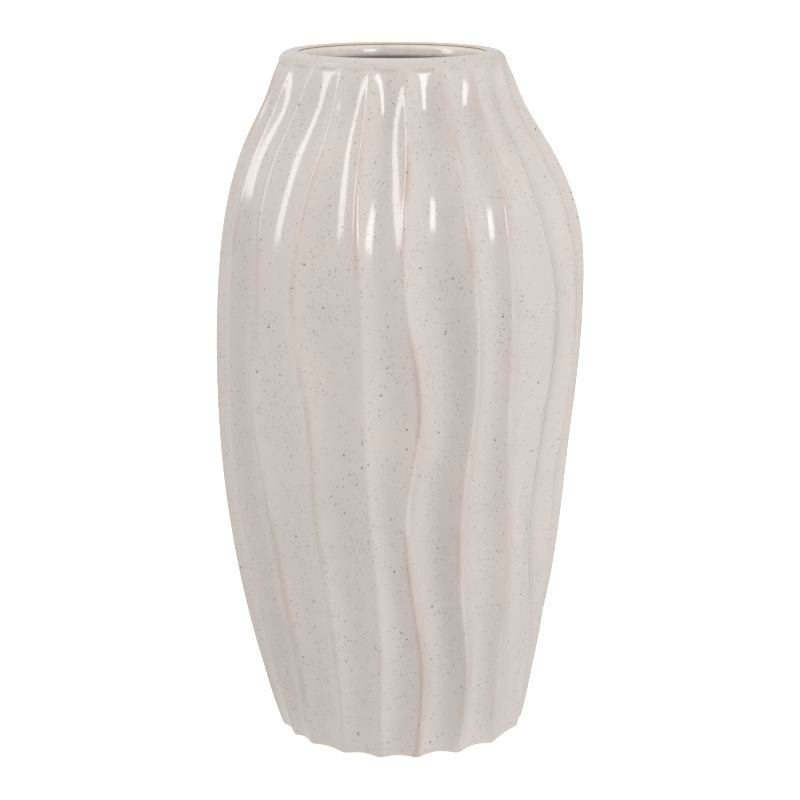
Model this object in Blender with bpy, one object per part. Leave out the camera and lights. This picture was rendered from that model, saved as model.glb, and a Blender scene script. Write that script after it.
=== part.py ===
"""A tall stoneware vase with sharp wandering ridges: clay body, glaze coats and felt foot pads.

Lengths are in millimetres and become metres when a mesh is made. +Z is up and the front is -Y.
The origin is on the surface that the vase stands on, in the middle of the belly's outline.
"""

import math

import bmesh
import bpy
import numpy as np

MM = 0.001

# Overall sizes
HEIGHT = 300.0
FOOT_HEIGHT = 1.0  # underside of the clay, held up by the pads
GLAZE_START = 2.0  # the outer glaze stops this far above the table
FLOOR_HEIGHT = 12.5  # floor of the cavity
GLAZE = 0.5  # thickness of a glaze coat
GAP = 0.3  # between one solid and the next
COAT = GLAZE + GAP

# Crest line of the ridges from the foot to below the lip: height and radius
WALL_HEIGHTS = (0, 10, 25, 45, 70, 100, 130, 160, 190, 215, 240, 262, 280, 291, 297)
WALL_RADII = (54, 57.2, 60.8, 65.3, 70, 74.2, 77, 79, 79.7, 78.7, 74.4, 65.4, 55.4, 50.9, 48.2)
WALL_ROWS = (GLAZE_START, 12, 30, 54, 80, 106, 132, 158, 182, 204, 224, 241, 256, 270, 281, 288, 293.5)

# Rolled lip: an arc outside, a flat top and a crisp inner edge
LIP_CENTRE_RADIUS = 43.6
LIP_CENTRE_HEIGHT = 295.2
LIP_ARC = HEIGHT - LIP_CENTRE_HEIGHT
LIP_ANGLES = (20, 43, 66, 90)
INNER_EDGE_RADIUS = 39.1
INNER_EDGE_HEIGHT = 299.4
LIP_BAND_HEIGHT = 294.0  # the inner face of the lip ends here and the wall turns outwards

# Cavity below the lip: radius and height of the liner's face, from the floor up
CAVITY = (
    (20, 12.6),
    (34, 14),
    (42, 18),
    (48.5, 26),
    (54, 45),
    (58.5, 70),
    (65, 130),
    (68, 190),
    (66.4, 215),
    (61, 240),
    (51, 262),
    (41.8, 284),
    (39.6, 291.5),
)

# Depth of the scoops between the ridges, by height, for a scoop of the usual width
DEPTH_HEIGHTS = (0, 18, 40, 120, 200, 250, 268, 280, 288, 293.5, 296.5)
DEPTHS = (2.2, 3.6, 4.4, 4.9, 5.0, 4.9, 4.8, 4.2, 3.0, 1.8, 0.0)
SCOOP_STEPS = 3  # columns of faces in each scoop

# The ridges of one half, each as its angle from the front (degrees, + to the right) at nine
# stations up the wall. The other half has the same eleven ridges, turned by half a turn.
STATIONS = (0, 40, 80, 120, 160, 200, 235, 270, 300)
RIDGES = (
    (-74, -75, -79, -82, -81, -83, -81, -79, -78),
    (-59, -59, -61, -64, -64, -66, -65, -62, -60),
    (-46, -41, -42, -45, -50, -49, -50, -47, -41),
    (-27, -23, -24, -26, -28, -34, -33, -27, -25),
    (-10, -6, -6, -8, -10, -12, -14, -12, -10),
    (7, 10, 6, 4, 7, 2, 1, 5, 6),
    (27, 28, 23, 22, 24, 23, 21, 23, 24),
    (47, 43, 42, 39, 36, 35, 35, 39, 40),
    (72, 65, 53, 50, 53, 54, 49, 50, 52),
    (85, 79, 70, 65, 69, 70, 66, 66, 68),
    (96, 91, 84, 82, 84, 85, 83, 82, 83),
)
USUAL_WIDTH = 180 / len(RIDGES)

# The pot leans a little as it goes up: sideways place of its centre at the same stations
LEAN = (0.5, -1.5, -2.2, -2.5, -1.4, 0.3, 0.4, -2.4, -3.2)

# Foot ring, recess and pads
RECESS_RADIUS = 36.0
RECESS_HEIGHT = 5.0
RECESS_SLOPE = 1.5
FOOT_ROUNDING = 1.0
UNDERSIDE_RADIUS = 35.0
PAD_COUNT = 4
PAD_RADIUS = 4.0
PAD_THICKNESS = 0.7
PAD_PLACE = 42.5
PAD_ROUNDING = 0.15


def clear_scene():
    for item in list(bpy.data.objects):
        bpy.data.objects.remove(item, do_unlink=True)


def smooth(x, stations, values):
    """Cubic curve through the stations, with the slope at each from its neighbours."""
    stations = np.asarray(stations, float)
    values = np.asarray(values, float)
    slopes = np.gradient(values, stations)
    x = np.clip(x, stations[0], stations[-1])
    i = np.clip(np.searchsorted(stations, x) - 1, 0, len(stations) - 2)
    step = stations[i + 1] - stations[i]
    t = (x - stations[i]) / step
    start = (1 + 2 * t) * (1 - t) ** 2 * values[i] + t * (1 - t) ** 2 * step * slopes[i]
    end = t**2 * (3 - 2 * t) * values[i + 1] - t**2 * (1 - t) * step * slopes[i + 1]
    return start + end


def ridge_angles(height):
    """Angle of every ridge at this height, in order round the vase."""
    half = np.array([smooth(height, STATIONS, ridge) for ridge in RIDGES])
    return np.concatenate([half, half + 180])


def columns(height):
    """Angle of each column of points, and how deep the scoop is there as a share of its depth."""
    crests = ridge_angles(height)
    widths = np.roll(crests, -1) - crests
    widths[-1] += 360
    along = np.arange(SCOOP_STEPS) / SCOOP_STEPS
    angles = crests[:, None] + widths[:, None] * along
    shares = (1 - (2 * along - 1) ** 2) * np.clip(widths[:, None] / USUAL_WIDTH, 0.5, 1.15)
    return np.radians(angles).ravel(), shares.ravel()


def ring(radius, height, depth=0.0, inwards=(1.0, 0.0), follow=None):
    """One closed row of points. The scoops cut in against the wall's outward direction."""
    angles, shares = columns(height if follow is None else follow)
    cut = depth * shares
    radii = radius - inwards[0] * cut
    centre = smooth(height, STATIONS, LEAN)
    across = centre + radii * np.sin(angles)
    deep = -radii * np.cos(angles)
    up = height - inwards[1] * cut
    return np.stack([across, deep, up], axis=1)


def offset_path(points, distance):
    """A (radius, height) path moved off its own outward side, and that side's directions."""
    path = np.array(points, float)
    steps = np.gradient(path, axis=0)
    steps /= np.linalg.norm(steps, axis=1)[:, None]
    outward = np.stack([steps[:, 1], -steps[:, 0]], axis=1)
    return path - outward * distance, outward


def wall_path():
    """The outside of the vase along a crest, from the end of the glaze to the lip's inner edge."""
    path = [(smooth(z, WALL_HEIGHTS, WALL_RADII), z) for z in WALL_ROWS]
    for angle in np.radians(LIP_ANGLES):
        radius = LIP_CENTRE_RADIUS + LIP_ARC * math.cos(angle)
        path.append((radius, LIP_CENTRE_HEIGHT + LIP_ARC * math.sin(angle)))
    path.append((INNER_EDGE_RADIUS + 1.2, HEIGHT - 0.1))
    path.append((INNER_EDGE_RADIUS, INNER_EDGE_HEIGHT))
    return path


def wall_rings(distance):
    """Rows of the outside, set in from the crest line by this distance."""
    path, outward = offset_path(wall_path(), distance)
    depths = smooth([z for _, z in wall_path()], DEPTH_HEIGHTS, DEPTHS)
    return [ring(r, z, depth, side) for (r, z), depth, side in zip(path, depths, outward)]


def cavity_path():
    """The inside of the vase from the middle of the floor to the top of the liner."""
    top = [(INNER_EDGE_RADIUS, LIP_BAND_HEIGHT), (INNER_EDGE_RADIUS, INNER_EDGE_HEIGHT - COAT)]
    return [*CAVITY, *top]


def cavity_rings(distance):
    """Rows of the inside from the floor up, set back into the clay by this distance."""
    path, _ = offset_path(cavity_path(), -distance)
    path[0, 1] = FLOOR_HEIGHT - distance
    return [ring(r, z, follow=HEIGHT) for r, z in path]


def loft(name, rings, poles=()):
    """A closed surface through rows of points: end to end in a loop, or closed by two poles."""
    mesh = bpy.data.meshes.new(name)
    shape = bmesh.new()
    rows = [[shape.verts.new(point * MM) for point in row] for row in rings]
    count = len(rows[0])
    pairs = list(zip(rows, rows[1:]))
    if poles:
        first = shape.verts.new(np.array(poles[0]) * MM)
        last = shape.verts.new(np.array(poles[1]) * MM)
        for j in range(count):
            following = (j + 1) % count
            shape.faces.new((first, rows[0][following], rows[0][j]))
            shape.faces.new((last, rows[-1][j], rows[-1][following]))
    else:
        pairs.append((rows[-1], rows[0]))
    for lower, upper in pairs:
        rising = upper[0].co.z > lower[0].co.z
        for j in range(count):
            following = (j + 1) % count
            a, b, c, d = lower[j], lower[following], upper[following], upper[j]
            # Nested walls split each face along the same diagonal, so that they stay apart.
            halves = ((a, b, c), (a, c, d)) if rising else ((a, b, d), (b, c, d))
            for corners in halves:
                shape.faces.new(corners)
    shape.to_mesh(mesh)
    shape.free()
    mesh.shade_smooth()
    mesh.set_sharp_from_angle(angle=math.radians(50))
    return place(name, mesh)


def place(name, mesh):
    item = bpy.data.objects.new(name, mesh)
    bpy.context.scene.collection.objects.link(item)
    return item


def paint(item, name, colour, roughness):
    material = bpy.data.materials.new(name)
    material.use_nodes = True
    shader = material.node_tree.nodes["Principled BSDF"]
    shader.inputs["Base Color"].default_value = (*colour, 1)
    shader.inputs["Roughness"].default_value = roughness
    shader.inputs["Metallic"].default_value = 0
    item.data.materials.append(material)


def stoneware_body():
    """Clay: recess and foot ring underneath, ridged wall, rolled lip, smooth cavity and floor."""
    foot_radius = WALL_RADII[0] - COAT - FOOT_ROUNDING
    foot = [
        ring(RECESS_RADIUS * 0.5, RECESS_HEIGHT),
        ring(RECESS_RADIUS, RECESS_HEIGHT),
        ring(RECESS_RADIUS + RECESS_SLOPE, FOOT_HEIGHT),
        ring(foot_radius, FOOT_HEIGHT, DEPTHS[0]),
    ]
    cavity = cavity_rings(COAT)[::-1]
    centre = LEAN[0]
    poles = ((centre, 0, RECESS_HEIGHT), (centre, 0, FLOOR_HEIGHT - COAT))
    return loft("stoneware_body", foot + wall_rings(COAT) + cavity, poles)


def outer_glaze():
    """Glaze over the ridges and the lip."""
    return loft("outer_glaze", wall_rings(0) + wall_rings(GLAZE)[::-1])


def liner_glaze():
    """Glaze inside, from under the lip's edge to the middle of the floor."""
    rings = cavity_rings(GLAZE) + cavity_rings(0)[::-1]
    centre = LEAN[0]
    poles = ((centre, 0, FLOOR_HEIGHT - GLAZE), (centre, 0, FLOOR_HEIGHT))
    return loft("liner_glaze", rings, poles)


def disc(name, radius, bottom, thickness, x, y, segments):
    mesh = bpy.data.meshes.new(name)
    shape = bmesh.new()
    bmesh.ops.create_cone(
        shape,
        cap_ends=True,
        segments=segments,
        radius1=radius * MM,
        radius2=radius * MM,
        depth=thickness * MM,
    )
    shape.to_mesh(mesh)
    shape.free()
    mesh.shade_smooth()
    mesh.set_sharp_from_angle(angle=math.radians(50))
    item = place(name, mesh)
    item.location = (x * MM, y * MM, (bottom + thickness / 2) * MM)
    return item


def underside_glaze():
    """Thin coat of glaze in the recess."""
    bottom = RECESS_HEIGHT - COAT
    return disc("underside_glaze", UNDERSIDE_RADIUS, bottom, GLAZE, LEAN[0], 0, 48)


def foot_pad(number):
    """Round felt pad stuck under the foot ring."""
    angle = math.tau * (number - 0.5) / PAD_COUNT
    x = LEAN[0] + PAD_PLACE * math.cos(angle)
    y = PAD_PLACE * math.sin(angle)
    item = disc(f"foot_pad_{number}", PAD_RADIUS, 0, PAD_THICKNESS, x, y, 24)
    edge = item.modifiers.new("rounded edge", "BEVEL")
    edge.width = PAD_ROUNDING * MM
    edge.segments = 2
    return item


clear_scene()
paint(stoneware_body(), "bare stoneware", (0.60, 0.47, 0.37), 0.85)
paint(outer_glaze(), "speckled satin glaze", (0.68, 0.61, 0.56), 0.35)
paint(liner_glaze(), "liner glaze", (0.62, 0.56, 0.50), 0.25)
paint(underside_glaze(), "underside glaze", (0.66, 0.59, 0.53), 0.4)
for pad_number in range(1, PAD_COUNT + 1):
    paint(foot_pad(pad_number), f"felt {pad_number}", (0.30, 0.27, 0.24), 0.95)
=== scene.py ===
"""Looks of the ridged stoneware vase: clay, speckled glaze coats, felt pads, studio and camera.

Shapes are worked out in millimetres and become metres when a mesh is laid. The front is -Y.
"""

import math

import bpy
import numpy as np
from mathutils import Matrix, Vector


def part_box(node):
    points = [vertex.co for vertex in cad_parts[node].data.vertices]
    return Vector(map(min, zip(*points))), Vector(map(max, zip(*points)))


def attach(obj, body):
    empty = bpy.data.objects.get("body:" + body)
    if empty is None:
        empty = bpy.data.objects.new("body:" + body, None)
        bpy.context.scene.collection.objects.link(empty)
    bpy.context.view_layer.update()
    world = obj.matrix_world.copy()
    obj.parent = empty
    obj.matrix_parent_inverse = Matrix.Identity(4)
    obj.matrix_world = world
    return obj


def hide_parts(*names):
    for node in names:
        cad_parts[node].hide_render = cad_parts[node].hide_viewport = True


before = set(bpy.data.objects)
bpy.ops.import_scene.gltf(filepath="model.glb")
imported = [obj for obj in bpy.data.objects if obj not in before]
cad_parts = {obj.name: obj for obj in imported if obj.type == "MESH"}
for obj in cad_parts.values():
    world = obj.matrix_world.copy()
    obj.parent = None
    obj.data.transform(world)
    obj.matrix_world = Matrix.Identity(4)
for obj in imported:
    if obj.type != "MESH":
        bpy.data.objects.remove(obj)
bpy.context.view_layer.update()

MM = 0.001
BODY = "root"


def node_span(node):
    """Lowest and highest corner of a CAD node, in millimetres."""
    low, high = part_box(node)
    return np.array(low) / MM, np.array(high) / MM


# ---------------------------------------------------------------- driving sizes

COAT_THICKNESS = 0.5
COAT = 0.8  # from the face of a glaze coat to the clay under it
HEIGHT = node_span("outer_glaze")[1][2] - 0.02
FOOT_HEIGHT = node_span("stoneware_body")[0][2]
FLOOR_HEIGHT = 12.5

# Crest line of the ridges: height and radius
WALL_HEIGHTS = (0, 10, 25, 45, 70, 100, 130, 160, 190, 215, 240, 262, 280, 291, 297)
WALL_RADII = (54, 57.2, 60.8, 65.3, 70, 74.2, 77, 79, 79.7, 78.7, 74.4, 65.4, 55.4, 50.9, 48.2)

# Rolled lip
LIP_RADIUS = 43.6
LIP_ARC = 4.8
LIP_START = 19  # degrees above level, where the wall runs into the lip
LIP_DOME = 0.25  # how far the flat of the lip falls towards the mouth
INNER_RADIUS = 39.1
INNER_FLARE = 0.8  # how much wider the mouth is at its edge than at the throat
INNER_ROUNDING = 0.8

# Foot
FOOT_ARC = 1.8
GLAZE_END = -45  # degrees round the foot's rounding, where the glaze stops
RECESS_RADIUS = 36.0
RECESS_HEIGHT = 5.0
RECESS_SLOPE = 1.5  # how much wider the recess is at the foot ring than at its ceiling

# Depth of the scoops by height, and the height under the lip where they end
DEPTH_HEIGHTS = (0, 4, 10, 22, 45, 120, 200, 250, 268, 281, 286, 290, 293, 297)
DEPTHS = (2.0, 2.5, 3.1, 3.8, 4.5, 4.9, 5.0, 4.9, 4.8, 4.3, 3.5, 2.7, 1.9, 0.7)
SCOOP_TOP = 296.4
SCOOP_TOP_FADE = 0.7
WIDTH_LIMITS = (0.5, 1.15)  # least and most that a scoop's width scales its depth
NECK_START = 215  # height where a scoop's depth starts to change to its depth at the neck
NECK_CHANGE = 35

# Rounding of the crests, as a share of the scoop's depth
CRISP_ROUNDING = 0.12
SOFT_ROUNDING = 0.22  # added on a crest with no crispness
FOOT_ROUNDING = 0.35  # added at the foot
FOOT_ROUNDING_TOP = 16
FOOT_ROUNDING_SPAN = 14

# Hand marks: their mean depth and scale, and how far from foot and lip they start and fade in
MARK_MEAN = 0.25
MARK_SCALE = 0.5
MARK_FOOT = 4
MARK_FOOT_FADE = 12
MARK_LIP = 6
MARK_LIP_FADE = 30
# Each wave: turns round the vase, radians for each millimetre up, start, size
MARK_WAVES = (
    (3, 0.021, 0.4, 0.16),
    (7, 0.034, 2.1, 0.12),
    (11, -0.052, 4.4, 0.09),
    (19, 0.081, 1.3, 0.06),
    (26, -0.117, 5.2, 0.05),
    (41, 0.16, 3.3, 0.035),
)

# Reach of the thin glaze round a crest, and the depths where thin and pooled glaze are full
THIN_REACH = 1.3
THIN_FULL_DEPTH = 3
POOL_FULL_DEPTH = 4

# Ochre line on the lip's inner edge: strength and reach
OCHRE_STRENGTH = 0.9
OCHRE_REACH = 1.2

# Face of the liner from the floor up to the throat: radius and height
CAVITY = (
    (20, 12.6),
    (34, 14),
    (42, 18),
    (48.5, 26),
    (54, 45),
    (58.5, 70),
    (65, 130),
    (68, 190),
    (66.4, 215),
    (61, 240),
    (51, 262),
    (41.8, 284),
    (39.6, 291.5),
    (39.1, 294),
)

# Ridges of one half: angle from the front at the stations' heights (degrees, + to the right),
# how crisp the crest is, and how deep the scoop after it is on the belly and at the neck. The
# other half repeats them, turned by half a turn.
STATIONS = (0, 40, 80, 120, 160, 200, 235, 270, 300)
RIDGES = (
    ((-74, -75, -79, -82, -81, -83, -81, -79, -78), 0.9, 0.95, 0.85),
    ((-59, -59, -61, -64, -64, -66, -65, -62, -60), 0.9, 1.25, 0.8),
    ((-46, -41, -42, -45, -50, -49, -50, -47, -41), 0.8, 0.8, 0.8),
    ((-27, -23, -24, -26, -28, -34, -33, -27, -25), 0.5, 1.0, 0.95),
    ((-10, -6, -6, -8, -10, -12, -14, -12, -10), 0.6, 0.9, 1.3),
    ((7, 10, 6, 4, 7, 2, 1, 5, 6), 1.0, 1.35, 1.05),
    ((27, 28, 23, 22, 24, 23, 21, 23, 24), 0.8, 1.15, 1.0),
    ((47, 43, 42, 39, 36, 35, 35, 39, 40), 0.6, 0.8, 0.85),
    ((72, 65, 53, 50, 53, 54, 49, 50, 52), 0.7, 0.85, 0.85),
    ((85, 79, 70, 65, 69, 70, 66, 66, 68), 0.7, 0.9, 0.9),
    ((96, 91, 84, 82, 84, 85, 83, 82, 83), 0.9, 0.9, 0.9),
)
USUAL_WIDTH = 180 / len(RIDGES)
# Sideways place of the vase's middle at the stations' heights
LEAN = (0.5, -1.5, -2.2, -2.5, -1.4, 0.3, 0.4, -2.4, -3.2)

# Columns of points across one scoop, closer together at the crests, as shares of its width
SCOOP_POINTS = np.array([0, 0.02, 0.045, 0.08, 0.13, 0.2, 0.29, 0.39, 0.5])
SCOOP_POINTS = np.concatenate([SCOOP_POINTS, 1 - SCOOP_POINTS[-2:0:-1]])
SCOOP_POINTS_COARSE = np.array([0, 0.06, 0.16, 0.3, 0.5, 0.7, 0.84, 0.94])

# Steps up the wall, in millimetres
FACE_STEP = 1.8
BACK_STEP = 12
LINER_STEP = 2.0
CLAY_STEP = 4


# ---------------------------------------------------------------- shape functions


def spline(x, stations, values):
    """Natural cubic spline: cubic pieces whose slope and second derivative agree at each
    station, with no second derivative at the two ends."""
    stations = np.asarray(stations, float)
    values = np.asarray(values, float)
    gaps = np.diff(stations)
    rises = np.diff(values) / gaps
    system = np.diag(np.r_[1.0, 2 * (gaps[:-1] + gaps[1:]), 1.0])
    system += np.diag(np.r_[gaps[:-1], 0.0], -1) + np.diag(np.r_[0.0, gaps[1:]], 1)
    bends = np.linalg.solve(system, np.r_[0.0, 6 * np.diff(rises), 0.0])
    x = np.clip(x, stations[0], stations[-1])
    i = np.clip(np.searchsorted(stations, x) - 1, 0, len(gaps) - 1)
    left = (stations[i + 1] - x) / gaps[i]
    right = 1 - left
    curve = (left**3 - left) * bends[i] + (right**3 - right) * bends[i + 1]
    return left * values[i] + right * values[i + 1] + curve * gaps[i] ** 2 / 6


def arc(radius, height, size, start, end, count):
    """Points (radius, height) of a circle's arc between two angles in degrees above level."""
    angles = np.radians(np.linspace(start, end, count))
    across = radius + size * np.cos(angles)
    return np.stack([across, height + size * np.sin(angles)], axis=1)


def even_path(path, spacing):
    """The path's points placed again at even steps along its length, through a spline."""
    lengths = np.r_[0, np.cumsum(np.linalg.norm(np.diff(path, axis=0), axis=1))]
    along = np.linspace(0, lengths[-1], int(lengths[-1] / spacing) + 2)
    return np.stack([spline(along, lengths, path[:, k]) for k in (0, 1)], axis=1)


def outward_of(path):
    """Unit directions square to the path, on its right-hand side."""
    steps = np.gradient(path, axis=0)
    steps /= np.linalg.norm(steps, axis=1)[:, None]
    return np.stack([steps[:, 1], -steps[:, 0]], axis=1)


def wall_path(spacing):
    """Outside of the vase along a crest as (radius, height): the foot's rounding, the wall as a
    spline, the lip as an arc, its top falling as the square of the way across, and its small
    inner rounding, which meets the flare of the mouth."""
    foot_top = FOOT_HEIGHT + FOOT_ARC
    lip_centre = HEIGHT - LIP_ARC
    edge = math.radians(LIP_START)
    lip_foot = (LIP_RADIUS + LIP_ARC * math.cos(edge), lip_centre + LIP_ARC * math.sin(edge))
    heights = np.arange(foot_top, WALL_HEIGHTS[-2] + 2, spacing)
    stations = (*WALL_HEIGHTS[:-1], lip_foot[1])
    radii = (*WALL_RADII[:-1], lip_foot[0])
    wall = np.stack([spline(heights, stations, radii), heights], axis=1)
    foot = arc(wall[0, 0] - FOOT_ARC, foot_top, FOOT_ARC, GLAZE_END, 0, 9)[:-1]
    above = np.linspace(heights[-1], lip_foot[1], 11)[1:-1]
    neck = np.stack([spline(above, stations, radii), above], axis=1)
    lip = arc(LIP_RADIUS, lip_centre, LIP_ARC, LIP_START, 90, 14)
    across = np.linspace(0, 1, 6)[1:-1]
    top_end = INNER_RADIUS + INNER_FLARE + INNER_ROUNDING
    top_radii = LIP_RADIUS + (top_end - LIP_RADIUS) * across
    top = np.stack([top_radii, HEIGHT - LIP_DOME * across**2], axis=1)
    inner_centre = HEIGHT - LIP_DOME - INNER_ROUNDING
    inner = arc(top_end, inner_centre, INNER_ROUNDING, 97, 165, 7)
    return np.concatenate([foot, wall, neck, lip, top, inner])


def ridge_angles(heights):
    """Angle of every ridge (columns) at every height (rows), in degrees."""
    half = np.stack([spline(heights, STATIONS, places) for places, *_ in RIDGES], axis=1)
    return np.concatenate([half, half + 180], axis=1)


def round_rows(path, angles):
    """Points round the vase at these angles for each point of a path, in rings with no scoops."""
    centre = spline(path[:, 1], STATIONS, LEAN)[:, None]
    radius = path[:, :1]
    across, back = centre + radius * np.sin(angles), -radius * np.cos(angles)
    return np.stack([across, back, path[:, 1:] + 0 * angles], axis=2)


def scoop_columns(heights, scoop_points):
    """Angle in degrees of each column at each height, and the width of the scoop it lies in.
    Both have the axes height, scoop and column of the scoop."""
    crests = ridge_angles(heights)
    following = np.concatenate([crests[:, 1:], crests[:, :1] + 360], axis=1)
    widths = (following - crests)[:, :, None]
    return crests[:, :, None] + widths * scoop_points, widths


def hand_marks(angle, height):
    """Unevenness of hand work: the sum of size * sin(turns * angle + rate * height + start)."""
    return sum(
        size * np.sin(turns * angle + rate * height + start)
        for turns, rate, start, size in MARK_WAVES
    )


def scooped_rows(path, scoop_points, inset=0.0):
    """Points round the vase for each point of a crest path, set in by a distance.

    Between two crests the wall is cut in, against its outward direction, by depth * share:
    share = 1 - (2u - 1)^2, u being the part of the way across. To round the crests, share
    becomes sqrt(share^2 + r^2) - r, where r is larger on a soft crest and near the foot. It is
    scaled by the scoop's own deepness, which goes from its belly value to its neck value, and
    by its width. The depth goes to 0 at the scoops' top as 1 - exp(-(gap / fade)^2).

    Also returns how near each point is to a crest, and how low it lies in its scoop, from 0
    to about 1.
    """
    outward = outward_of(path)
    heights = path[:, 1]
    angles, widths = scoop_columns(heights, scoop_points)
    u = scoop_points
    crispness, belly, neck = np.array([traits for _, *traits in RIDGES] * 2).T
    towards_neck = np.clip((heights - NECK_START) / NECK_CHANGE, 0, 1)[:, None]
    deepness = (belly + (neck - belly) * towards_neck)[:, :, None]
    sway = (u * u * (3 - 2 * u))[None, :]
    crisp = crispness[:, None] * (1 - sway) + np.roll(crispness, -1)[:, None] * sway
    near_foot = np.clip((FOOT_ROUNDING_TOP - heights) / FOOT_ROUNDING_SPAN, 0, 1)[:, None, None]
    rounding = CRISP_ROUNDING + SOFT_ROUNDING * (1 - crisp) + FOOT_ROUNDING * near_foot**2
    share = 1 - (2 * u - 1) ** 2
    share = np.sqrt(share**2 + rounding**2) - rounding
    share = share * deepness * np.clip(widths / USUAL_WIDTH, *WIDTH_LIMITS)
    below_top = np.clip(SCOOP_TOP - heights, 0, None)
    top_fade = 1 - np.exp(-((below_top / SCOOP_TOP_FADE) ** 2))
    depth = (spline(heights, DEPTH_HEIGHTS, DEPTHS) * top_fade)[:, None, None]
    cut = depth * share
    flat = (len(heights), -1)
    angles = np.radians(angles).reshape(flat)
    lip_fade = np.clip((HEIGHT - MARK_LIP - heights) / MARK_LIP_FADE, 0, 1)[:, None]
    foot_fade = np.clip((heights - MARK_FOOT) / MARK_FOOT_FADE, 0, 1)[:, None]
    marks = MARK_MEAN + MARK_SCALE * hand_marks(angles, heights[:, None])
    cut = cut.reshape(flat) + inset + lip_fade * foot_fade * marks
    centre = spline(heights, STATIONS, LEAN)[:, None]
    radius = path[:, :1] - outward[:, :1] * cut
    up = path[:, 1:] - outward[:, 1:] * cut
    points = np.stack([centre + radius * np.sin(angles), -radius * np.cos(angles), up], axis=2)
    arc_length = np.radians(widths) * path[:, :1, None] * np.minimum(u, 1 - u)
    crest = np.exp(-((arc_length / THIN_REACH) ** 2)) * crisp
    crest = crest * np.clip(depth / THIN_FULL_DEPTH, 0, 1)
    pool = share * np.clip(depth / POOL_FULL_DEPTH, 0, 1)
    return points, {"crest": crest.reshape(flat), "pool": pool.reshape(flat)}


# ---------------------------------------------------------------- laying meshes


def lay(name, rows, poles=None, values=None):
    """A closed mesh over a grid of points, in rows that run round the vase. The last row joins
    the first, or with poles each end closes in a fan on its own point. Each of the values, one
    number for each point of the grid, becomes an attribute."""
    count, across = rows.shape[:2]
    index = np.arange(count * across).reshape(count, across)
    upper = np.roll(index, -1, axis=0)
    if poles is not None:
        index_low, index_high = index[:-1], upper[:-1]
    else:
        index_low, index_high = index, upper
    next_low, next_high = (np.roll(ring, -1, axis=1) for ring in (index_low, index_high))
    quads = np.stack([index_low, next_low, next_high, index_high], axis=2).reshape(-1, 4)
    points = rows.reshape(-1, 3)
    loops = [quads.ravel()]
    sizes = [np.full(len(quads), 4)]
    if poles is not None:
        first, last = len(points), len(points) + 1
        points = np.concatenate([points, np.asarray(poles, float)])
        fans = (
            (np.full(across, first), np.roll(index[0], -1), index[0]),
            (np.full(across, last), index[-1], np.roll(index[-1], -1)),
        )
        for fan in fans:
            loops.append(np.stack(fan, axis=1).ravel())
            sizes.append(np.full(across, 3))
    loops = np.concatenate(loops)
    sizes = np.concatenate(sizes)
    mesh = bpy.data.meshes.new(name)
    mesh.vertices.add(len(points))
    mesh.vertices.foreach_set("co", (points * MM).astype(np.float32).ravel())
    mesh.loops.add(len(loops))
    mesh.loops.foreach_set("vertex_index", loops.astype(np.int32))
    mesh.polygons.add(len(sizes))
    mesh.polygons.foreach_set("loop_start", np.r_[0, np.cumsum(sizes)[:-1]].astype(np.int32))
    mesh.polygons.foreach_set("loop_total", sizes.astype(np.int32))
    mesh.update(calc_edges=True)
    mesh.validate()
    mesh.shade_smooth()
    for key, value in (values or {}).items():
        layer = mesh.attributes.new(key, "FLOAT", "POINT")
        filled = np.zeros(len(points), np.float32)
        filled[: value.size] = value.ravel()
        layer.data.foreach_set("value", filled)
    item = bpy.data.objects.new(name, mesh)
    bpy.context.scene.collection.objects.link(item)
    return item


def stand_for(item, node, material):
    """The piece takes a CAD node's place, rides on the vase and gets its material."""
    item.data.materials.append(material)
    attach(item, BODY)
    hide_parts(node)


# ---------------------------------------------------------------- materials


class Value:
    """An output socket. Arithmetic on it, with numbers or other values, adds Math nodes."""

    def __init__(self, finish, socket):
        self.finish = finish
        self.socket = socket

    def __add__(self, other):
        return self.finish.maths("ADD", self, other)

    def __sub__(self, other):
        return self.finish.maths("SUBTRACT", self, other)

    def __rsub__(self, other):
        return self.finish.maths("SUBTRACT", other, self)

    def __mul__(self, other):
        return self.finish.maths("MULTIPLY", self, other)

    __radd__ = __add__
    __rmul__ = __mul__


class Nodes:
    """A node tree that starts empty."""

    def __init__(self, tree):
        self.tree = tree
        tree.nodes.clear()

    def plug(self, socket, value):
        if isinstance(value, Value):
            self.tree.links.new(value.socket, socket)
        else:
            socket.default_value = value

    def node(self, kind, settings=None, inputs=None, output=0):
        """Any node: its settings first, then its sockets' values or links."""
        made = self.tree.nodes.new(kind)
        for key, value in (settings or {}).items():
            setattr(made, key, value)
        for key, value in (inputs or {}).items():
            self.plug(made.inputs[key], value)
        return Value(self, made.outputs[output]) if len(made.outputs) else made

    def maths(self, operation, *values, clamp=False):
        settings = {"operation": operation, "use_clamp": clamp}
        return self.node("ShaderNodeMath", settings, dict(enumerate(values)))


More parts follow.
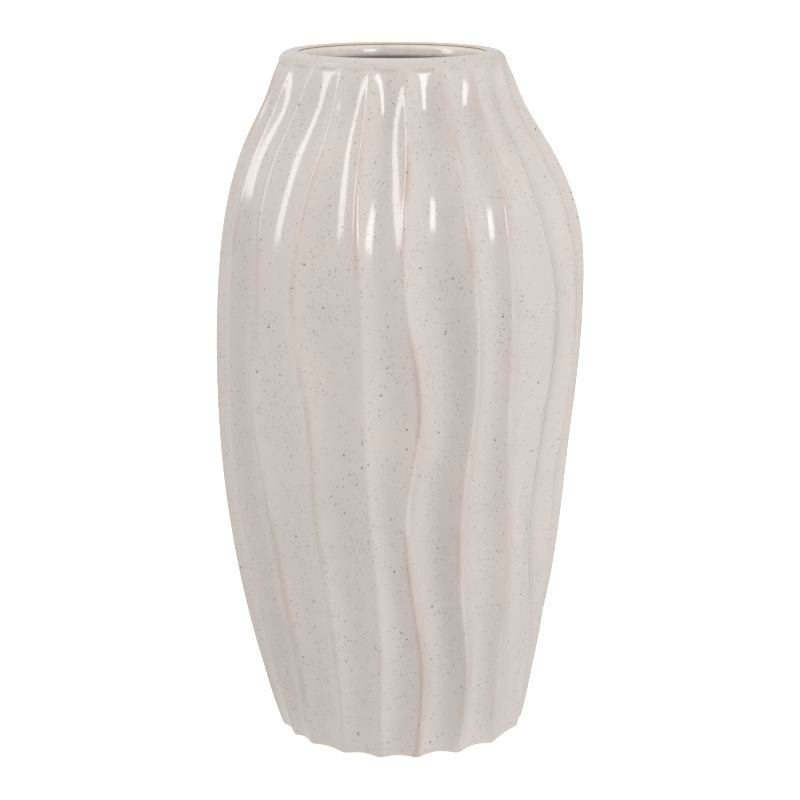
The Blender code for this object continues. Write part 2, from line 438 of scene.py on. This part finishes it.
class Finish(Nodes):
    """A material under construction, with one Principled shader."""

    def __init__(self, name):
        self.material = bpy.data.materials.new(name)
        self.material.use_nodes = True
        super().__init__(self.material.node_tree)
        self.shader = self.tree.nodes.new("ShaderNodeBsdfPrincipled")
        self.output = self.tree.nodes.new("ShaderNodeOutputMaterial")
        self.surface(Value(self, self.shader.outputs["BSDF"]))
        self.place = self.node("ShaderNodeTexCoord", output="Object")

    def surface(self, value):
        self.plug(self.output.inputs["Surface"], value)

    def smooth_step(self, value, low, high):
        """0 below low, 1 above high and smooth between; falling where low is above high."""
        settings = {"interpolation_type": "SMOOTHSTEP"}
        flip = low > high
        inputs = {"Value": value, "From Min": min(low, high), "From Max": max(low, high)}
        inputs |= {"To Min": float(flip), "To Max": float(not flip)}
        return self.node("ShaderNodeMapRange", settings, inputs)

    def height_step(self, low, high):
        """Smooth step by height, in metres."""
        height = self.node("ShaderNodeSeparateXYZ", None, {"Vector": self.place}, output="Z")
        return self.smooth_step(height, low, high)

    def mix(self, first, second, amount):
        """Colour mixed from the first to the second."""
        first, second = (c if isinstance(c, Value) else (*c, 1.0) for c in (first, second))
        settings = {"data_type": "RGBA"}
        return self.node("ShaderNodeMix", settings, {0: amount, 6: first, 7: second}, output=2)

    def noise(self, size, detail=2.0, roughness=0.5, stretch=None):
        """Noise from 0 to 1 whose features are about this many millimetres across."""
        place = self.place
        if stretch:
            place = self.node("ShaderNodeMapping", None, {"Vector": place, "Scale": stretch})
        inputs = {"Vector": place, "Scale": 1 / (size * MM)}
        inputs |= {"Detail": detail, "Roughness": roughness}
        return self.node("ShaderNodeTexNoise", None, inputs, output="Fac")

    def attribute(self, name):
        return self.node("ShaderNodeAttribute", {"attribute_name": name}, output="Fac")

    def set(self, **sockets):
        """Sets the shader's sockets: base_color=... fills Base Color."""
        for key, value in sockets.items():
            name = key.replace("_", " ").title().replace("Ior", "IOR")
            self.plug(self.shader.inputs[name], value)

    def bump(self, height, distance, strength=1.0):
        inputs = {"Height": height, "Distance": distance * MM, "Strength": strength}
        bumped = self.node("ShaderNodeBump", None, inputs, output="Normal")
        self.plug(self.shader.inputs["Normal"], bumped)

    def specks(self, cell, share, smallest, largest):
        """Scattered specks, 1 inside and 0 outside. One point lies in each cell of this size in
        millimetres, and this share of them become round specks of random radius."""
        inputs = {"Vector": self.place, "Scale": 1 / (cell * MM)}
        distance = self.node("ShaderNodeTexVoronoi", None, inputs, output="Distance")
        chance = self.node("ShaderNodeTexVoronoi", None, inputs, output="Color")
        picked = self.node("ShaderNodeSeparateColor", None, {"Color": chance}, output="Red")
        spread = self.node("ShaderNodeSeparateColor", None, {"Color": chance}, output="Green")
        chosen = self.maths("LESS_THAN", picked, share)
        radius = smallest / cell + spread * spread * ((largest - smallest) / cell)
        edge = (radius - distance) * (cell / SPECK_EDGE)
        return self.maths("MULTIPLY", self.maths("MINIMUM", edge, 1.0), chosen, clamp=True)


WARM_GLAZE = (0.700, 0.628, 0.575)
COOL_GLAZE = (0.650, 0.592, 0.565)
POOLED_GLAZE = (0.590, 0.535, 0.500)
# Painted shade: the lip top's colour, about 0.9 times the warm glaze, darker rather than warmer
PAINTED_LIP_SHADE = (0.625, 0.560, 0.510)
# Painted light: the liner colour is lightened well past the outer glaze, standing in for more
# light inside the mouth
PAINTED_LIGHT_LINER_GLAZE = (0.900, 0.835, 0.780)
# Painted shade: the dark colour put on the liner below the mouth, standing in for the unlit inside
THROAT_SHADE = (0.220, 0.180, 0.150)
THIN_GLAZE = (0.510, 0.385, 0.305)
OCHRE_BREAK = (0.74, 0.58, 0.32)
IRON_SPECK = (0.13, 0.10, 0.085)
RUST_SPECK = (0.30, 0.20, 0.14)
SPECK_EDGE = 0.12  # how wide the soft edge of a speck is, in millimetres

# Changes near the lip, as heights in metres: where each starts and is complete. The darker lip top
# and the dark throat are painted shade; the dull band is less gloss.
LIP_SHADE_HEIGHTS = (0.2945, 0.2985)
DULL_BEGINS = (0.2938, 0.2950)
DULL_ENDS = (0.2984, 0.2968)
PAINTED_THROAT_SHADE_SPAN = (0.2950, 0.2936)


def speckled_glaze(name, warm, cool, with_flutes=False, with_painted_throat_shade=False):
    """Satin glaze: slow drift of tone, iron specks in clusters, and a faint orange-peel surface.
    With flutes it is also cooler where it pools, peach where it thins on a crest, darker on the
    lip top as painted shade, ochre on its inner edge and less glossy just under it. With painted
    throat shade it is dark below the mouth, painted shade for the unlit inside."""
    glaze = Finish(name)
    drift = glaze.smooth_step(glaze.noise(55, 2), 0.35, 0.65)
    cloud = glaze.smooth_step(glaze.noise(9, 3, 0.6), 0.3, 0.7)
    streak = glaze.smooth_step(glaze.noise(5, 2, 0.5, stretch=(1, 1, 0.12)), 0.3, 0.7)
    colour = glaze.mix(warm, cool, drift * 0.5 + cloud * 0.2 + streak * 0.25)
    cluster = glaze.smooth_step(glaze.noise(16, 2, 0.6), 0.38, 0.66)
    density = 0.35 + 0.65 * cluster
    dull = 0.0
    if with_flutes:
        pool = glaze.attribute("pool")
        crest = glaze.attribute("crest")
        edge = glaze.attribute("edge")
        colour = glaze.mix(colour, POOLED_GLAZE, pool * (0.16 + 0.2 * cloud))
        broken = glaze.noise(26, 3, 0.6, stretch=(1, 1, 0.45))
        broken = glaze.smooth_step(broken, 0.42, 0.62)
        colour = glaze.mix(colour, THIN_GLAZE, crest * (0.06 + 0.66 * broken))
        # Painted shade: the top of the lip is made darker, standing in for less light falling on
        # it
        lip = glaze.height_step(*LIP_SHADE_HEIGHTS)
        dull = glaze.height_step(*DULL_BEGINS) * glaze.height_step(*DULL_ENDS)
        colour = glaze.mix(colour, PAINTED_LIP_SHADE, lip * 0.9)
        colour = glaze.mix(colour, OCHRE_BREAK, edge)
        density = density * (0.75 + 0.35 * pool)
    # Painted shade: below the mouth the liner is darkened, standing in for the shadow inside
    if with_painted_throat_shade:
        colour = glaze.mix(colour, THROAT_SHADE, glaze.height_step(*PAINTED_THROAT_SHADE_SPAN) * 0.85)
    fine = glaze.specks(0.9, density * 0.60, 0.16, 0.30)
    middle = glaze.specks(1.3, density * 0.95, 0.22, 0.42)
    coarse = glaze.specks(2.6, density * 0.26, 0.30, 0.54)
    colour = glaze.mix(colour, RUST_SPECK, fine * 0.40)
    colour = glaze.mix(colour, IRON_SPECK, middle * 0.58)
    colour = glaze.mix(colour, IRON_SPECK, coarse * 0.80)
    rough = 0.17 + 0.05 * glaze.noise(4, 2) + 0.25 * middle + 0.35 * dull
    glaze.set(base_color=colour, roughness=rough, ior=1.55)
    glaze.set(coat_weight=1 - 0.85 * dull, coat_roughness=0.09)
    peel = glaze.noise(3.2, 2, 0.5) * 0.6 + glaze.noise(11, 1) * 1.4
    glaze.bump(peel - 0.6 * middle, 0.03, 0.6)
    return glaze.material


def bare_clay():
    """Dry buff clay with fine grit and small dark grains."""
    clay = Finish("bare stoneware")
    tone = clay.noise(5, 4, 0.65)
    shade = clay.smooth_step(tone, 0.35, 0.7)
    colour = clay.mix((0.60, 0.46, 0.36), (0.47, 0.35, 0.27), shade)
    grain = clay.specks(1.1, 0.3, 0.1, 0.22)
    colour = clay.mix(colour, IRON_SPECK, grain * 0.5)
    clay.set(base_color=colour, roughness=0.78 + 0.15 * tone, ior=1.45)
    clay.bump(clay.noise(0.7, 4, 0.7) + 0.5 * tone, 0.12, 0.7)
    return clay.material


def pressed_felt():
    """Grey-brown felt: matted fibres as stretched noise crossed two ways."""
    felt = Finish("pressed felt")
    one_way = felt.noise(0.5, 4, 0.7, stretch=(4, 1, 1))
    other_way = felt.noise(0.5, 4, 0.7, stretch=(1, 4, 1))
    fibre = one_way * 0.5 + other_way * 0.5
    shade = felt.smooth_step(fibre, 0.35, 0.65)
    colour = felt.mix((0.20, 0.175, 0.155), (0.38, 0.345, 0.31), shade)
    felt.set(base_color=colour, roughness=0.95, sheen_weight=0.3)
    felt.bump(fibre, 0.15, 0.8)
    return felt.material


# ---------------------------------------------------------------- pieces


def outer_coat():
    """Glaze over ridges and lip: the scooped wall outside, the same path set in behind it."""
    outside_path = wall_path(FACE_STEP)
    outside, values = scooped_rows(outside_path, SCOOP_POINTS)
    inner_edge = (INNER_RADIUS + INNER_FLARE + 0.2, HEIGHT - 0.5)
    from_edge = np.linalg.norm(outside_path - inner_edge, axis=1)[:, None]
    ochre = OCHRE_STRENGTH * np.exp(-((from_edge / OCHRE_REACH) ** 2))
    values["edge"] = ochre + 0 * values["pool"]
    behind, _ = scooped_rows(wall_path(BACK_STEP), SCOOP_POINTS, COAT_THICKNESS)
    rows = np.concatenate([outside, behind[::-1]])
    return lay("outer_glaze_coat", rows, values=values)


def cavity_path(spacing):
    """Inside of the vase from the floor up to the lip's inner rounding. Over the throat it
    widens as the square of the way up."""
    top_end = HEIGHT - LIP_DOME - INNER_ROUNDING
    lowest = np.array([(6, FLOOR_HEIGHT), (13, FLOOR_HEIGHT)])
    throat = CAVITY[-1][1]
    flare = np.linspace(0.35, 1, 5)
    heights = throat + (top_end - throat) * flare
    highest = np.stack([INNER_RADIUS + INNER_FLARE * flare**2, heights], axis=1)
    return even_path(np.concatenate([lowest, np.array(CAVITY), highest]), spacing)


def liner_coat():
    """Glaze inside: the cavity's path in smooth rings, and the same path set back behind it."""
    path = cavity_path(LINER_STEP)
    behind = path + outward_of(path) * COAT_THICKNESS
    angles = np.radians(np.arange(0, 360, 2))
    rows = np.concatenate([round_rows(behind, angles), round_rows(path, angles)[::-1]])
    centre = LEAN[0]
    poles = [(centre, 0, FLOOR_HEIGHT - COAT_THICKNESS), (centre, 0, FLOOR_HEIGHT)]
    return lay("liner_glaze_coat", rows, poles)


def clay_wall():
    """Clay: recess, foot ring with its rounding, wall and lip under the glaze, and the cavity."""
    foot_top = FOOT_HEIGHT + FOOT_ARC
    outside, _ = scooped_rows(wall_path(CLAY_STEP), SCOOP_POINTS_COARSE, COAT)
    foot_radius = spline(foot_top, WALL_HEIGHTS, WALL_RADII) - COAT - FOOT_ARC
    rounding = arc(foot_radius, foot_top, FOOT_ARC, -90, GLAZE_END, 8)
    rounding, _ = scooped_rows(rounding, SCOOP_POINTS_COARSE)
    under = np.array(
        [
            (6, RECESS_HEIGHT),
            (18, RECESS_HEIGHT),
            (RECESS_RADIUS - 1, RECESS_HEIGHT),
            (RECESS_RADIUS, RECESS_HEIGHT - 0.4),
            (RECESS_RADIUS + RECESS_SLOPE - 0.2, FOOT_HEIGHT + 0.3),
            (RECESS_RADIUS + RECESS_SLOPE + 0.3, FOOT_HEIGHT),
        ]
    )
    columns, _ = scoop_columns(np.array([0, HEIGHT]), SCOOP_POINTS_COARSE)
    foot_angles, rim_angles = np.radians(columns).reshape(2, -1)
    recess = round_rows(under, foot_angles)
    inner_path = cavity_path(CLAY_STEP)
    inner = round_rows(inner_path + outward_of(inner_path) * COAT, rim_angles)[::-1]
    rows = np.concatenate([recess, rounding, outside, inner])
    centre = LEAN[0]
    poles = [(centre, 0, RECESS_HEIGHT), (centre, 0, FLOOR_HEIGHT - COAT)]
    return lay("clay_wall", rows, poles)


def puck(name, node, rounding, across, wobble=0.0):
    """A disc that fills its CAD node: flat faces, and an edge rounded by quarter circles. Its
    radius may waver by a small wave round the edge."""
    low, high = node_span(node)
    centre = (low + high) / 2
    radius = (high[0] - low[0]) / 2
    flats = [(radius * 0.3, low[2]), (radius * 0.7, low[2])]
    lower = arc(radius - rounding, low[2] + rounding, rounding, -90, 0, 6)
    upper = arc(radius - rounding, high[2] - rounding, rounding, 0, 90, 6)
    top_flats = [(radius * 0.7, high[2]), (radius * 0.3, high[2])]
    profile = np.concatenate([flats, lower, upper, top_flats])
    angles = np.radians(np.linspace(0, 360, across, endpoint=False))
    waver = 1 - wobble * (1 + np.sin(5 * angles + centre[0])) / 2
    radii = profile[:, :1] * waver
    rows = (centre[0] + radii * np.cos(angles), centre[1] + radii * np.sin(angles))
    rows = np.stack([*rows, profile[:, 1:] + 0 * angles], axis=2)
    poles = [(centre[0], centre[1], low[2]), (centre[0], centre[1], high[2])]
    return lay(name, rows, poles)


outer_finish = speckled_glaze("speckled satin glaze", WARM_GLAZE, COOL_GLAZE, with_flutes=True)
# The liner glaze is lightened as painted light and darkened below the mouth as painted shade; the
# underside takes the same lightened colour
inner_finish = speckled_glaze("liner glaze", PAINTED_LIGHT_LINER_GLAZE, WARM_GLAZE, with_painted_throat_shade=True)
under_finish = speckled_glaze("underside glaze", PAINTED_LIGHT_LINER_GLAZE, WARM_GLAZE)
clay_finish = bare_clay()
felt_finish = pressed_felt()

stand_for(outer_coat(), "outer_glaze", outer_finish)
stand_for(liner_coat(), "liner_glaze", inner_finish)
stand_for(clay_wall(), "stoneware_body", clay_finish)
underside = puck("underside_glaze_coat", "underside_glaze", 0.2, 96)
stand_for(underside, "underside_glaze", under_finish)
for number in range(1, 5):
    pad = puck(f"felt_pad_{number}", f"foot_pad_{number}", 0.3, 48, 0.02)
    stand_for(pad, f"foot_pad_{number}", felt_finish)


# ---------------------------------------------------------------- studio

STAGE_HALF = 12.0
LIGHTS_AIM = 0.2  # height of the point that the soft boxes face
ROOM_SIDES = (  # azimuth, elevation and strength
    (60, 0, 1.13),
    (-120, 0, 0.74),
    (-30, 0, 0.61),
    (150, 0, 0.62),
    (0, 90, 1.0),
    (0, -90, 0.76),
)


def studio_floor():
    """A wide pale table top, which can be looked through from below."""
    mesh = bpy.data.meshes.new("studio_floor")
    corners = [(-1, -1), (1, -1), (1, 1), (-1, 1)]
    points = [(x * STAGE_HALF, y * STAGE_HALF, 0) for x, y in corners]
    mesh.from_pydata(points, [], [(0, 1, 2, 3)])
    floor = bpy.data.objects.new("studio_floor", mesh)
    bpy.context.scene.collection.objects.link(floor)
    paper = Finish("white paper")
    tone = paper.mix((0.93, 0.93, 0.93), (0.95, 0.95, 0.95), paper.noise(400, 1))
    paper.set(base_color=tone, roughness=0.9, specular_ior_level=0.1)
    paper.set(emission_color=(1, 1, 1, 1), emission_strength=0.7)
    below = paper.node("ShaderNodeNewGeometry", output="Backfacing")
    clear = paper.node("ShaderNodeBsdfTransparent")
    top = Value(paper, paper.shader.outputs["BSDF"])
    paper.surface(paper.node("ShaderNodeMixShader", None, {0: below, 1: top, 2: clear}))
    mesh.materials.append(paper.material)
    floor.visible_diffuse = False
    floor.visible_glossy = False


def direction(azimuth, elevation):
    """Unit vector away from the vase. The azimuth is in degrees from the front, + to the right."""
    turn, rise = math.radians(azimuth), math.radians(elevation)
    level = math.cos(rise)
    return np.array([math.sin(turn) * level, -math.cos(turn) * level, math.sin(rise)])


def soft_box(name, azimuth, elevation, distance, width, height, power):
    """A white area light on a sphere round the upper middle of the vase, facing it."""
    data = bpy.data.lights.new(name, "AREA")
    data.shape = "RECTANGLE"
    data.size = width
    data.size_y = height
    data.energy = power
    light = bpy.data.objects.new(name, data)
    light.location = np.array([0, 0, LIGHTS_AIM]) + direction(azimuth, elevation) * distance
    light.rotation_euler = (math.pi / 2 - math.radians(elevation), 0, math.radians(azimuth))
    bpy.context.scene.collection.objects.link(light)


def room_light(sides, shown):
    """Pale surroundings. Each side lights the vase with its strength, falling off with the
    square of the cosine of the angle from it, and the eye sees one even brightness."""
    world = bpy.data.worlds.new("studio")
    bpy.context.scene.world = world
    world.use_nodes = True
    room = Nodes(world.node_tree)
    ray = room.node("ShaderNodeTexCoord", output="Generated")
    level = 0.0
    dot = {"operation": "DOT_PRODUCT"}
    for azimuth, elevation, strength in sides:
        pair = {0: ray, 1: tuple(direction(azimuth, elevation))}
        facing = room.node("ShaderNodeVectorMath", dot, pair, output="Value")
        facing = room.maths("MAXIMUM", facing, 0.0)
        level = level + facing * facing * strength
    lit = room.node("ShaderNodeBackground", None, {"Strength": level, "Color": (1, 1, 1, 1)})
    seen = room.node("ShaderNodeBackground", None, {"Strength": shown, "Color": (1, 1, 1, 1)})
    eye = room.node("ShaderNodeLightPath", output="Is Camera Ray")
    both = room.node("ShaderNodeMixShader", None, {0: eye, 1: lit, 2: seen})
    room.node("ShaderNodeOutputWorld", None, {"Surface": both})


studio_floor()
soft_box("left_softbox", -76, 27, 1.4, 0.45, 1.05, 4.2)
soft_box("front_softbox", 28, 20.5, 1.4, 0.42, 0.39, 2.2)
room_light(ROOM_SIDES, 1.0)


# ---------------------------------------------------------------- camera

camera_data = bpy.data.cameras.new("camera")
camera_data.lens = 100
camera_data.sensor_width = 36
camera = bpy.data.objects.new("camera", camera_data)
camera.location = (0, -0.950, 0.3772)
camera.rotation_euler = (math.radians(90 - 13.61), 0, 0)
bpy.context.scene.collection.objects.link(camera)
bpy.context.scene.camera = camera
bpy.context.scene.view_settings.view_transform = "Standard"
